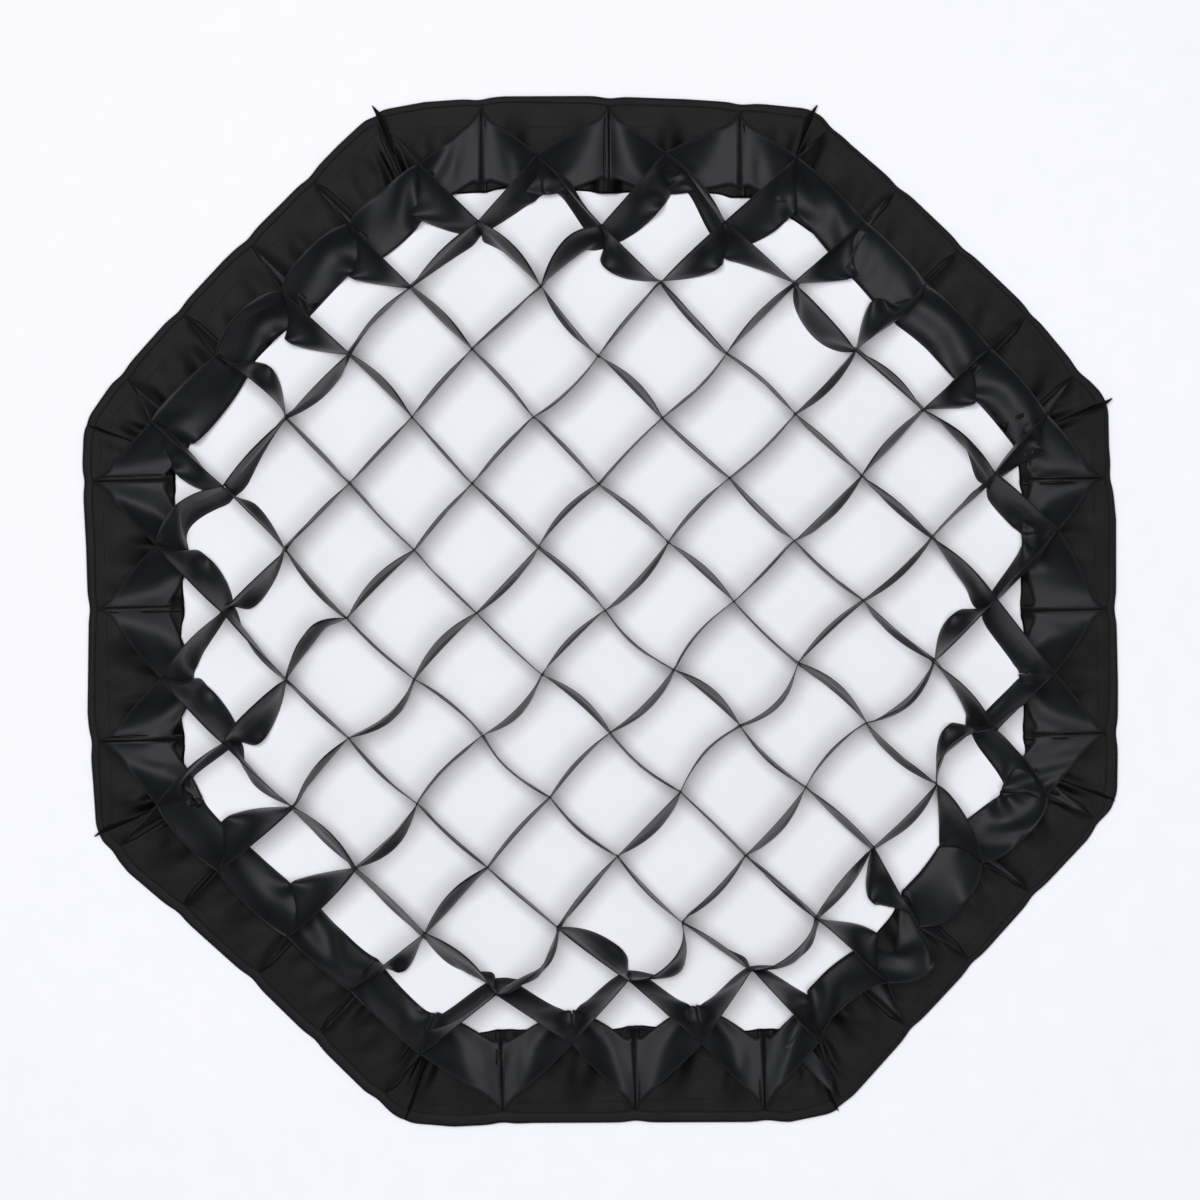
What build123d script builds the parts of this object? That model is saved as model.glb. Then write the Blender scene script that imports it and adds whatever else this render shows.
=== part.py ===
from build123d import *
import math
import os

# Eggcrate grid for an octagonal softbox, in millimetres. It lies as it is put down on a table:
# the side band is folded flat inwards under the cells, outer face down, and the cells stand up
# in the middle and lean inwards near the band. +Z is up, and the origin is the centre of the
# octagon at the level of the table. +X and +Y go through the middle of two flat sides.

# Driving dimensions
CELL = 50.0  # side of one square cell
STRIP_DEPTH = 31.0  # height of a cell wall
STRIP_T = 0.5  # cell wall fabric, with its coating
RINGS = 5  # the outermost parallel wall lies this many cells from the centre
LONG_RINGS = 2  # walls up to this many cells from the centre run from diagonal to diagonal side
BAND_W = 52.0  # side band, from the binding to its folded inner hem
BAND_T = 0.6  # the band is two layers of fabric
BINDING_W = 6.5  # folded grosgrain tape over the band's outer edge
BINDING_T = 0.7  # one leg of that tape
HOOK_W = 25.0  # hook tape under the band
HOOK_T = 1.4
CLEARANCE = 0.3  # between soft parts that lie on one another

# Worked-out dimensions
HALF_CELL = CELL / math.sqrt(2)  # the cells are set at 45 degrees, so crossings lie on this grid
EDGE_STEPS = 8  # crossings between the centre and the middle of a flat side
HALF_FLAT = EDGE_STEPS * HALF_CELL  # centre to the middle of a flat side
HALF_SIDE = HALF_FLAT * math.tan(math.pi / 8)  # half the length of one flat side
BAND_Z = HOOK_T + CLEARANCE  # underside of the band
BAND_TOP = BAND_Z + BAND_T
REST_Z = BAND_TOP + CLEARANCE  # level at which the cell walls lie on the band

# How the cell walls lean
WALL_INSET = 8.0  # a wall's end is sewn to the band this far inside the outer edge
LEAN_AT_EDGE = math.radians(82)  # from upright, with the deep edge towards the centre
LEAN_REACH = 2.6 * HALF_CELL  # the walls stand upright this far from the edge
FLOOR_REACH = 2.0 * HALF_CELL  # the deep edges are down on the table from here inwards
SEAM_GAP = 1.0  # between the ends of two walls sewn in at one place
SLIT_W = 3.0  # half-lap slit, wide enough for a leaning wall to pass
SLIT_SPAN = 8.0  # how far the slit cutter reaches to each side of its wall

# Thread and small trim
THREAD_T = 0.8
TACK_R = 1.0  # thread tack on top of a crossing
TACK_H = 1.2
ROW_H = 0.15  # how far a row of stitches stands up from the cloth
ROW_INSET = 2.0  # from the hook tape's long edges to its rows of stitches
END_ROW_L = STRIP_DEPTH - 4.0  # the row that holds the end of a wall
STITCH_INSET = BINDING_W - 1.2  # row of stitches along the binding
TIP_H = 6.0  # spare cloth at each corner seam, standing up from the band
TIP_OUT = 4.0  # how far its point stands out past the corner
TIP_T = 0.8
TIP_L = 30.0  # how far it runs in along the corner seam

COMPASS = ["east", "north_east", "north", "north_west", "west", "south_west", "south", "south_east"]


def side_normal(side):
    """Outward direction of one flat side of the octagon, counted anticlockwise from +X."""
    angle = side * math.pi / 4
    return Vector(math.cos(angle), math.sin(angle), 0)


def nearest_side(point):
    """Outward direction of the side nearest to a point, and the point's distance from its edge."""
    normals = [side_normal(side) for side in range(8)]
    reach = [point.X * n.X + point.Y * n.Y for n in normals]
    best = max(reach)
    # A point as near to two sides leans evenly between them
    tied = [n for n, r in zip(normals, reach) if best - r < 0.01]
    total = tied[0]
    for normal in tied[1:]:
        total = total + normal
    return total.normalized(), HALF_FLAT - best


def smooth(value):
    """Soft step from 0 to 1."""
    value = min(1.0, max(0.0, value))
    return value * value * (3 - 2 * value)


def wall_station(point):
    """Front and deep edge of a cell wall where it passes over a point of the plan."""
    outward, distance = nearest_side(point)
    lean = LEAN_AT_EDGE * (1 - smooth(distance / LEAN_REACH))
    deep_z = REST_Z * (1 - smooth(distance / HALF_CELL - 1)) if distance < FLOOR_REACH else 0
    deep = point - outward * (STRIP_DEPTH * math.sin(lean)) + Vector(0, 0, deep_z)
    front = point + Vector(0, 0, deep_z + STRIP_DEPTH * math.cos(lean))
    return front, deep


def wall_plan(ring, turn):
    """Plan points along one wall: its two sewn ends with every crossing between them.

    ring counts cells from the centre. turn is -1 for the walls that fall to the right and
    +1 for those that rise to the right.
    """
    along = Vector(1, turn, 0) * HALF_CELL
    middle = Vector(1, -turn, 0) * (ring * HALF_CELL)
    if abs(ring) <= LONG_RINGS:
        reach = HALF_FLAT / CELL  # these run square across, between two diagonal sides
        last = RINGS
    else:
        reach = EDGE_STEPS - abs(ring)  # these run between an upright and a level side
        last = reach - 1
    end = middle + along * reach
    start = middle - along * reach
    outward_end, distance_end = nearest_side(end)
    outward_start, distance_start = nearest_side(start)
    points = [start - outward_start * (WALL_INSET - distance_start)]
    points += [middle + along * step for step in range(-last, last + 1)]
    points.append(end - outward_end * (WALL_INSET - distance_end))
    return points, along.normalized()


def wall_section(front, deep, along):
    """Thin rectangle across a wall, from its front edge to its deep edge."""
    across = along.cross(front - deep).normalized() * (STRIP_T / 2)
    return Wire.make_polygon([front + across, deep + across, deep - across, front - across])


def cell_wall(ring, turn):
    """One whole wall, with a half-lap slit at every crossing."""
    points, along = wall_plan(ring, turn)
    points[0] = points[0] + along * SEAM_GAP
    points[-1] = points[-1] - along * SEAM_GAP
    stations = [wall_station(point) for point in points]
    wall = Solid.make_loft([wall_section(*station, along) for station in stations], ruled=True)
    # One set of walls is slit from the deep edge, and the other from the front edge
    for front, deep in stations[1:-1]:
        down = (deep - front).normalized()
        open_end = down if turn < 0 else down * -1
        middle = (front + deep) * 0.5
        cut_depth = STRIP_DEPTH / 2 + CLEARANCE
        side = (along - down * along.dot(down)).normalized()
        place = Plane(origin=middle - open_end * CLEARANCE, x_dir=side, z_dir=open_end)
        cutter = Box(SLIT_W, SLIT_SPAN, cut_depth * 2, align=(Align.CENTER, Align.CENTER, Align.MIN))
        wall = wall - place * cutter
    return wall


def mitred_bar(inset, width, low, height):
    """Straight bar along the east side, cut to meet its neighbours at the corners."""
    outer = HALF_FLAT - inset
    inner = outer - width
    slope = HALF_SIDE / HALF_FLAT
    gap = CLEARANCE
    outline = Polyline(
        (inner, -inner * slope + gap),
        (outer, -outer * slope + gap),
        (outer, outer * slope - gap),
        (inner, inner * slope - gap),
        close=True,
    )
    return Pos(0, 0, low) * extrude(make_face(outline), height)


def on_side(shape, side):
    return Rot(0, 0, side * 45) * shape


def edge_binding():
    """Grosgrain tape folded round the band's outer edge."""
    low = BAND_Z - BINDING_T
    tape = mitred_bar(0, BINDING_W, low, BAND_T + 2 * BINDING_T)
    slot = mitred_bar(BINDING_T, BAND_W, BAND_Z, BAND_T)
    return tape - slot


def band_panel():
    """One side of the band, lying flat from inside the binding to its inner hem."""
    return mitred_bar(BINDING_T, BAND_W, BAND_Z, BAND_T)


def hook_tape():
    return mitred_bar(BINDING_W + CLEARANCE, HOOK_W, 0, HOOK_T)


def binding_stitch():
    return mitred_bar(STITCH_INSET, THREAD_T, BAND_TOP + BINDING_T, ROW_H)


def hook_stitches():
    """Two rows of stitches on the band, over the long edges of the hook tape."""
    outer_row = mitred_bar(BINDING_W + ROW_INSET, THREAD_T, BAND_TOP, ROW_H)
    inner_row = mitred_bar(BINDING_W + HOOK_W - ROW_INSET, THREAD_T, BAND_TOP, ROW_H)
    return [outer_row, inner_row]


def corner_tip():
    """Spare cloth of a corner seam, standing on the band with its point past the corner."""
    corner = HALF_SIDE / math.sin(math.pi / 8)
    inner = corner - TIP_L
    outline = Polyline(
        (inner, BAND_TOP + CLEARANCE),
        (corner - BINDING_W, BAND_TOP + TIP_H),
        (corner + TIP_OUT, BAND_TOP + TIP_H / 2),
        (corner - BINDING_W, BAND_TOP + BINDING_T + CLEARANCE),
        close=True,
    )
    flap = extrude(Plane.XZ * make_face(outline), TIP_T / 2, both=True)
    return Rot(0, 0, 22.5) * flap


def crossing_points():
    """Every crossing of two walls, as plan points."""
    found = {}
    for ring in range(-RINGS, RINGS + 1):
        for point in wall_plan(ring, -1)[0][1:-1]:
            found[(round(point.X), round(point.Y))] = point
    return list(found.values())


def crossing_tack(point):
    front = wall_station(point)[0]
    tack = Cylinder(TACK_R, TACK_H, align=(Align.CENTER, Align.CENTER, Align.MIN))
    return Pos(front.X, front.Y, front.Z + CLEARANCE) * tack


def end_points():
    """Every place where walls are sewn to the band, once each."""
    found = {}
    for turn in (-1, 1):
        for ring in range(-RINGS, RINGS + 1):
            points = wall_plan(ring, turn)[0]
            for point in (points[0], points[-1]):
                found[(round(point.X), round(point.Y))] = point
    return list(found.values())


def end_stitch(point):
    """Thread on the band, under the sewn end of a wall and square to the edge."""
    outward = nearest_side(point)[0]
    middle = point - outward * (STRIP_DEPTH / 2)
    level = BAND_TOP + ROW_H  # on top of the rows that hold the hook tape
    place = Plane(origin=(middle.X, middle.Y, level), x_dir=outward, z_dir=(0, 0, 1))
    row = Box(END_ROW_L, THREAD_T, ROW_H, align=(Align.CENTER, Align.CENTER, Align.MIN))
    return place * row


def save(name, shape):
    """Write one node; a list becomes a group of separate solids."""
    if isinstance(shape, list):
        shape = Compound(children=shape)
    shape.label = name
    export_step(shape, f"parts/{name}.step")


os.makedirs("parts", exist_ok=True)

for number, ring in enumerate(range(-RINGS, RINGS + 1), start=1):
    save(f"cell_wall_a_{number:02d}", cell_wall(ring, -1))
    save(f"cell_wall_b_{number:02d}", cell_wall(ring, 1))

for side, name in enumerate(COMPASS):
    save(f"band_panel_{name}", on_side(band_panel(), side))
    save(f"edge_binding_{name}", on_side(edge_binding(), side))
    save(f"hook_tape_{name}", on_side(hook_tape(), side))

save("corner_seam_tips", [on_side(corner_tip(), side) for side in range(8)])
save("binding_stitches", [on_side(binding_stitch(), side) for side in range(8)])
save("hook_tape_stitches", [on_side(row, side) for side in range(8) for row in hook_stitches()])
save("crossing_tacks", [crossing_tack(point) for point in crossing_points()])
save("wall_end_stitches", [end_stitch(point) for point in end_points()])
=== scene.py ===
import math

import bpy
import numpy as np
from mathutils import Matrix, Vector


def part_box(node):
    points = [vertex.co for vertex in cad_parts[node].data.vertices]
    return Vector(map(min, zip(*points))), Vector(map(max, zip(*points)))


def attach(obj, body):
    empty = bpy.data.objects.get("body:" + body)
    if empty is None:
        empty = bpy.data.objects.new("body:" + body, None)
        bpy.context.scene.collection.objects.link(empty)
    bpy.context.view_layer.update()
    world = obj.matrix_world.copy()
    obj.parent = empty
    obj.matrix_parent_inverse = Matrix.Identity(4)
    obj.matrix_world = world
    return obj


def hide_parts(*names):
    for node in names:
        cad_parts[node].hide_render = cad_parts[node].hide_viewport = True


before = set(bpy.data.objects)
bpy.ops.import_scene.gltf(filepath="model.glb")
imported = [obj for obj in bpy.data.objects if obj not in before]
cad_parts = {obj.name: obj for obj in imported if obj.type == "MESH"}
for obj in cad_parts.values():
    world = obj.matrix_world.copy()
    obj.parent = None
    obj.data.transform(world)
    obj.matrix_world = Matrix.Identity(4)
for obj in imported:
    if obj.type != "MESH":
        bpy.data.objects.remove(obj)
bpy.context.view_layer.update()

# Cloth grid of an octabox, lying on a table: a flat side band with pleats, and a net of cell
# walls that stand up in the middle and fall over the band at the edge. Metres, +Z up.

MM = 0.001

# ---------------------------------------------------------------- sizes

SIDES = ["east", "north_east", "north", "north_west", "west", "south_west", "south", "south_east"]
HALF_FLAT = float(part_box("edge_binding_north")[1][1])
STEP = HALF_FLAT / 8  # crossings lie on a net of this pitch, every other place
CELL = STEP * math.sqrt(2)
DEPTH = 31 * MM  # height of a cell wall
BAND_W = 52 * MM
HOOK_TOP = float(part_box("hook_tape_north")[1][2])
BAND_LOW = HOOK_TOP + 0.3 * MM
BAND_T = 0.5 * MM
BAND_TOP = BAND_LOW + BAND_T
TUCK_H = 1.7 * MM  # a tuck in the band, pressed flat
WALL_T = 0.28 * MM
SLIT_HALF = 0.45 * MM  # half the width of a half-lap slit
WALL_INSET = 5.5 * MM  # from the edge to the start of the seam that holds a wall's end
END_DEPTH = 42 * MM  # length of that seam, along which the end of the wall spreads
LONG_RINGS = 2  # walls up to this many cells from the centre run square across
RINGS = 5  # the outermost walls lie this many cells from the centre
LOW_LEG = 6 * MM  # the edge binding's leg under the band
HOOK_EDGES = 6.8 * MM, 31.8 * MM  # the hook tape's long edges, in from the outer edge
HOOK_ROWS = 8.8 * MM, 29.5 * MM  # its two rows of stitches

# The camera looks straight down, and the sways below were judged as seen by it
VIEW_HEIGHT = 1.9
VIEW_CENTRE = np.array([-0.8, 5.9]) * MM

# Where the eight corners lie, in mm from a true octagon, anticlockwise from the one after east
CORNER_SHIFT = [(-1, 0), (2, -4), (-9, -5), (-5, -13), (2, -8), (7, -2), (15, 4), (4, 11)]

# Where the front edges cross, in mm from the even net: net rows from the top, each left to right
FRONT_SHIFT = {
    7: [(5, 0), (0, 4), (0, 5), (2, 3)],
    6: [(1, 2), (3, 2), (0, 0), (-3, 2), (5, 4)],
    5: [(0, 0), (2, 1), (2, 1), (-3, 3), (-1, 3), (4, 5)],
    4: [(0, -1), (3, 0), (0, 2), (-2, -2), (-2, 0), (-2, 1), (3, 4)],
    3: [(-1, -2), (4, 0), (2, 0), (-2, 0), (-2, 0), (0, 2), (-1, 4), (-1, 3)],
    2: [(4, -2), (3, -1), (0, -1), (-2, -1), (0, 2), (1, 3), (4, 5)],
    1: [(2, 1), (4, -2), (3, -2), (1, 0), (1, 2), (0, 3), (4, 5), (4, 9)],
    0: [(4, -1), (2, -4), (2, -1), (2, 0), (2, 5), (2, 6), (5, 7)],
    -1: [(5, -2), (4, -2), (3, -2), (3, 0), (4, 3), (2, 7), (5, 7), (2, 1)],
    -2: [(4, -2), (3, 1), (5, 2), (5, 4), (5, 8), (4, 9), (5, 5)],
    -3: [(2, -1), (8, -2), (5, 0), (7, 4), (8, 7), (6, 9), (7, 11), (0, 4)],
    -4: [(1, -2), (7, 0), (8, 1), (9, 7), (8, 7), (8, 12), (-2, 2)],
    -5: [(3, -4), (9, 0), (11, 3), (9, 6), (11, 8), (-2, 2)],
    -6: [(3, 3), (13, 1), (15, 9), (12, 15), (16, 7)],
    -7: [(6, 3), (19, 9), (20, 9), (14, 10)],
}

# How far the deep edge lies from the front edge at the crossings near the band, in mm
DEEP_OFFSET = {
    (-3, 7): (-1, -28), (-1, 7): (3, -21), (1, 7): (-2, -21), (3, 7): (-8, -24),
    (-4, 6): (5, -27), (-2, 6): (0, -9), (0, 6): (0, -15), (2, 6): (-4, -18), (4, 6): (-11, -28),
    (-5, 5): (7, -22), (5, 5): (-19, -23),
    (-6, 4): (15, -11), (6, 4): (-18, -20),
    (-7, 3): (20, -11), (7, 3): (-9, -27),
    (-6, 2): (8, -7), (6, 2): (-8, -8),
    (-7, 1): (17, -7), (7, 1): (-18, -2),
    (-6, 0): (5, 4), (6, 0): (-9, -10),
    (-7, -1): (16, -4), (7, -1): (-17, -1),
    (-6, -2): (10, 0), (6, -2): (-16, -2),
    (-7, -3): (24, 2), (7, -3): (-29, -1),
    (-6, -4): (6, 20), (6, -4): (-23, 11),
    (-5, -5): (7, 27), (5, -5): (-9, 20),
    (-4, -6): (11, 18), (-2, -6): (1, 12), (0, -6): (0, 8), (2, -6): (0, 4), (4, -6): (-7, 21),
    (-3, -7): (6, 22), (-1, -7): (0, 17), (1, -7): (-3, 20), (3, -7): (-1, 22),
}

# How far each span sways from the line between its crossings, as (front, deep) edge in mm,
# upwards in plan. A third number says where along the span, if that isn't halfway. Walls are given
# by ring, with -5 furthest left, and spans from the left end.
SWAY_A = {
    -5: [(-3, 20), (-3, 23), (-1, 22), (-1, 20)],
    -4: [(-1, 17, 0.64), (-1, -5), (4, -2), (1, -3), (5, -3), (0, 12)],
    -3: [(-1, 17, 0.68), (-1, -2), (0, -2), (-2, -3), (-1, -2), (-1, -1), (-1, 12, 0.43), (0, 10)],
    -2: [(0, -12, 0.75), (0, 6), (-1, -4), (-1, -2), (3, 2), (-4, -4), (-3, -4), (-3, -3), (2, 1), (0, 12)],
    -1: [(3, 16, 0.7), (-1, -1), (-1, -1), (-1, -1), (-1, -1), (5, 1), (-3, -4), (0, 0), (1, -1),
         (1, 17, 0.3)],
    0: [(0, -18, 0.55), (4, 3), (0, -1), (1, -1), (3, 0), (-3, -3), (6, 1), (-3, -4), (2, 0),
        (0, -17, 0.35)],
    1: [(0, -20, 0.62), (3, 1), (2, 0), (2, 0), (3, 0), (4, 0), (-1, -1), (6, 1), (-1, -5), (5, -13)],
    2: [(0, -23, 0.62), (5, -1), (0, -4), (5, 0), (0, -2), (0, -3), (-1, -1), (0, -4), (4, -1), (2, -15)],
    3: [(0, -6), (0, -16, 0.65), (1, -3), (3, 1), (2, -1), (3, -2), (3, -4), (0, -15)],
    4: [(4, -5), (1, -10), (2, -12, 0.55), (5, 0), (5, 2), (1, -16, 0.3)],
    5: [(1, -24), (1, -28), (1, -26), (2, -25)],
}
SWAY_B = {
    -5: [(3, -27, 0.35), (8, -15), (6, -21), (3, -28, 0.3)],
    -4: [(9, -5, 0.45), (2, -5), (1, -7), (4, 2), (3, -5), (0, -15, 0.2)],
    -3: [(3, -8), (1, -10, 0.38), (2, 0), (1, 0), (2, 0), (1, 1), (9, 1, 0.6), (0, -20, 0.25)],
    -2: [(3, -3), (3, -14, 0.3), (11, 5, 0.65), (5, 0), (2, 0), (2, 0), (-3, -2), (2, 1),
         (1, -16, 0.44), (0, -24, 0.25)],
    -1: [(-1, 19), (5, 2), (-6, -9), (5, 0), (0, -4), (4, 1), (1, 0), (-3, -2), (3, 2), (0, -20, 0.33)],
    0: [(-2, 19), (-3, -8), (3, 2), (-3, -7), (4, 1), (-1, -5), (3, 1), (-2, -1), (-1, -5), (0, 14, 0.4)],
    1: [(0, -9, 0.7), (5, 0), (2, 0), (3, 1), (-2, -6), (3, 3), (0, -1), (0, -5), (3, 1), (0, -18, 0.27)],
    2: [(0, 10), (-8, -10), (2, -1), (0, -6), (4, 4), (-6, -9), (3, 0), (-2, -5), (1, 1), (0, -10)],
    3: [(0, 10), (-10, -16, 0.55), (-1, -4), (-1, -6), (4, 3), (-7, -9), (-1, 12, 0.35), (0, 8)],
    4: [(0, 10), (-7, -11), (2, -4), (-1, -6), (10, 21, 0.38), (0, 12)],
    5: [(6, 28, 0.45), (-20, 6), (-11, 22, 0.45), (-8, 21)],
}
SWAY = {"a": SWAY_A, "b": SWAY_B}

# How far each side swells past the line between its corners, at five places along it, in mm
SIDE_BULGE = [(1, 2, 2, 3, 0), (1, 5, 4, 3, 0), (3, 6, 8, 8, 5), (2, 3, 5, 5, 4),
              (2, 1, 1, 3, 1), (3, 1, 0, 1, 2), (3, 2, 3, 4, 5), (0, 0, 1, 1, 2)]

# Where walls are sewn in at the edge, anticlockwise from the east side, in mm from the centre
TUCKS = [
    [(282, -68), (284, 1), (282, 74)],
    [(263, 130), (236, 164), (200, 201), (164, 234), (126, 267)],
    [(77, 279), (4, 282), (-67, 281)],
    [(-123, 273), (-159, 237), (-195, 204), (-232, 164), (-265, 131)],
    [(-280, 72), (-282, 1), (-281, -73)],
    [(-269, -130), (-230, -162), (-190, -200), (-155, -234), (-119, -266)],
    [(-55, -279), (19, -279), (91, -277)],
    [(126, -267), (169, -230), (205, -195), (239, -157), (272, -115)],
]

# Visible width of the binding's upper leg at the start and end of each side, in mm
BINDING_LEG = [(6.5, 2.2), (4.5, 2.0), (5.0, 3.5), (4.5, 4.5),
               (5.5, 3.8), (5.8, 6.0), (6.4, 6.0), (2.2, 4.0)]

# ---------------------------------------------------------------- plan of the octagon


def unit(angle):
    """Direction in plan."""
    return np.array([math.cos(angle), math.sin(angle)])


def octagon_corners():
    """Corners anticlockwise from the one between east and north-east."""
    reach = HALF_FLAT / math.cos(math.pi / 8)
    return [reach * unit((k + 0.5) * math.pi / 4) + MM * np.array(CORNER_SHIFT[k]) for k in range(8)]


CORNERS = octagon_corners()


class Side:
    """One flat side, with places given by distance along it from its middle and in from its edge."""

    def __init__(self, number):
        self.number = number
        self.name = SIDES[number]
        self.start = CORNERS[number - 1]
        self.end = CORNERS[number]
        self.length = float(np.linalg.norm(self.end - self.start))
        self.along = (self.end - self.start) / self.length
        self.inward = np.array([-self.along[1], self.along[0]])
        self.miter_start = self._miter(CORNERS[number - 2])
        self.miter_end = self._miter(CORNERS[(number + 1) % 8], at_end=True)
        middle = (self.start + self.end) / 2
        self.tucks = [float((MM * np.array(point) - middle) @ self.along) for point in TUCKS[number]]

    def _miter(self, other, at_end=False):
        """How far the mitred end moves along the side for each metre inwards."""
        near = self.end if at_end else self.start
        beyond = (other - near) / np.linalg.norm(other - near)
        back = -self.along if at_end else self.along
        half = math.acos(float(np.clip(np.dot(back, beyond), -1, 1))) / 2
        return 1 / math.tan(half)

    def plan(self, along, inwards):
        """Plan points at places along the side and depths in from it."""
        middle = (self.start + self.end) / 2
        return middle + np.multiply.outer(along, self.along) + np.multiply.outer(inwards, self.inward)

    def ends(self, inwards):
        """Where the side starts and stops at this distance in from the edge."""
        half = self.length / 2
        return -half + inwards * self.miter_start, half - inwards * self.miter_end

    def local(self, points):
        """Place along the side and depth in from its true edge."""
        rel = points[..., :2] - (self.start + self.end) / 2
        along = rel @ self.along
        return along, rel @ self.inward - self.edge_wave(along)

    def edge_wave(self, along):
        """How far the true edge lies inside the line between the corners, less at the swells.

        It is drawn in a little at each tuck, and rounds the corners.
        """
        nearest = np.min([np.abs(along - t) for t in self.tucks], axis=0)
        notch = 1.0 * MM * np.exp(-((nearest / (6 * MM)) ** 2)) - 0.4 * MM
        to_corner = np.maximum(self.length / 2 - np.abs(along), 0)
        notch = notch + 1.6 * MM * np.maximum(1 - to_corner / (9 * MM), 0) ** 2
        share = np.clip(along / self.length + 0.5, 0, 1)
        swell = np.interp(share, (0, 0.12, 0.3, 0.5, 0.7, 0.88, 1), (0, *SIDE_BULGE[self.number], 0))
        return notch - swell * MM


OCTAGON = [Side(k) for k in range(8)]


def soft_step(x):
    """Smooth step from 0 to 1."""
    x = np.clip(x, 0, 1)
    return x * x * (3 - 2 * x)


def band_depth(points):
    """Distance in from the octagon's edge, and the side that it is measured from."""
    each = np.array([side.local(points)[1] for side in OCTAGON])
    return each.min(axis=0), each.argmin(axis=0)


def folds(side, along, inwards):
    """Soft folds that fan out towards the inner hem, stronger beside the corners."""
    seed = np.random.default_rng(100 + side.number)
    total = 0.0
    crisp = side.number % 2 == 0  # the straight sides are puckered into sharper folds
    for wavelength, height in ((47, 0.9), (29, 1.0), (17, 0.8), (11, 0.3)):
        phase = seed.uniform(0, 2 * math.pi)
        slant = seed.uniform(-0.5, 0.5)
        swing = np.sin(2 * math.pi * (along + slant * inwards) / (wavelength * MM) + phase)
        total = total + height * MM * (1.1 * np.arcsin(swing) if crisp else swing)
    start, end = side.ends(inwards)
    beside = np.minimum(along - start, end - along)
    corner = 1.7 * MM * np.exp(-((beside / (16 * MM)) ** 2))
    total = total + corner * np.sin(2 * math.pi * beside / (9 * MM) + side.number)
    return np.maximum(total * soft_step((inwards - 6 * MM) / (34 * MM)), -0.6 * MM)


def band_level(side, along, inwards):
    """Height of the middle of the band: it drops to the table inside the hook tape."""
    drop = soft_step((inwards - 34 * MM) / (12 * MM)) * (HOOK_TOP + 0.1 * MM)
    return np.maximum(BAND_LOW + BAND_T / 2 + folds(side, along, inwards) - drop, 0.35 * MM)


def ground(points):
    """Lowest level that a cell wall can lie at: the table, the band, or a tuck in the band."""
    depth, which = band_depth(points)
    on_band = 1 - soft_step((depth - BAND_W) / (3 * MM))
    level = np.full(len(points), 0.3 * MM)
    for side in OCTAGON:
        mine = which == side.number
        along, inwards = side.local(points[mine])
        near = np.min([np.abs(along - t) for t in side.tucks], axis=0)
        ridge = TUCK_H * np.exp(-((near / (3.2 * MM)) ** 2)) * soft_step((inwards - 5 * MM) / (10 * MM))
        above = band_level(side, along, inwards) + BAND_T / 2 + 0.5 * MM + ridge
        level[mine] += on_band[mine] * above
    return level


# ---------------------------------------------------------------- the net of cell walls

ROWS = 7  # points from the front edge to the deep edge
PER_CELL = 12  # points along one cell
FALL = 0.012 * MM  # how far the cloth falls in each pass of the settling
HOLD = 0.4  # share of the way back that a softly held point is pulled in each pass


def crossing_places():
    """Front and deep point of every crossing."""
    places = {}
    for row, shifts in FRONT_SHIFT.items():
        reach = min(7 if row % 2 else 6, 10 - abs(row))
        for column, shift in zip(range(-reach, reach + 1, 2), shifts):
            plan = np.array([column, row]) * STEP + MM * np.array(shift)
            edge, _ = band_depth(plan)
            lean = MM * np.array(DEEP_OFFSET.get((column, row), inner_lean(column, row)))
            if (column, row) not in DEEP_OFFSET:
                lean = lean + below(plan, DEPTH) - plan
            deep = plan + lean
            floor = float(ground(deep[None])[0]) if edge < 2 * STEP else 0.3 * MM
            height = 0.999 * math.sqrt(max(0.0, DEPTH**2 - float(lean @ lean)))
            places[column, row] = (np.array([*plan, floor + height]), np.array([*deep, floor]))
    return places


def below(plan, height):
    """The place on the table that a raised point hides from the camera."""
    return VIEW_CENTRE + (plan - VIEW_CENTRE) / (1 - height / VIEW_HEIGHT)


def inner_lean(column, row):
    """Lean in mm of a crossing in the middle, where the walls stand a degree or two out."""
    return math.sin(1.7 * column + 0.6 * row), math.sin(0.9 * column - 1.3 * row + 1)


def wall_stations(family, ring):
    """The crossings of one wall, in order from the left."""
    turn = -1 if family == "a" else 1
    long = abs(ring) <= LONG_RINGS
    last = RINGS if long else 8 - abs(ring) - 1
    return [(ring + t, turn * (t - ring)) for t in range(-last, last + 1)]


def main_axis(family):
    """Direction of a family's walls, from left to right."""
    return np.array([1, -1 if family == "a" else 1]) / math.sqrt(2)


def sewn_end(family, ring, at_end):
    """The side that a wall's end is sewn to, and the place along it."""
    axis = main_axis(family) * (1 if at_end else -1)
    turn = -1 if family == "a" else 1
    middle = np.array([1, -turn]) * ring * STEP
    if abs(ring) <= LONG_RINGS:
        number = [k for k in range(1, 8, 2) if np.dot(unit(k * math.pi / 4), axis) > 0.99][0]
        reach = HALF_FLAT
    else:
        reach = (8 - abs(ring)) * CELL
        point = middle + axis * reach
        number = max(range(0, 8, 2), key=lambda k: np.dot(unit(k * math.pi / 4), point))
    along = unit(number * math.pi / 4 + math.pi / 2)
    pitch = CELL if number % 2 else 2 * STEP
    side = OCTAGON[number]
    place = round(float((middle + axis * reach) @ along) / pitch) + len(side.tucks) // 2
    return side, side.tucks[place]


def end_column(family, ring, at_end):
    """The sewn end of a wall, front edge outermost, lying on the band beside its tuck."""
    side, place = sewn_end(family, ring, at_end)
    toward = main_axis(family) * (-1 if at_end else 1)
    lean = 0.6 * MM * np.sign(np.dot(toward, side.along))
    inwards = WALL_INSET + np.linspace(0, END_DEPTH, ROWS) + float(side.edge_wave(np.array([place]))[0])
    plan = side.plan(np.full(ROWS, place + lean), inwards)
    level = ground(plan) - 0.1 * MM
    return np.column_stack([plan, level])


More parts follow.
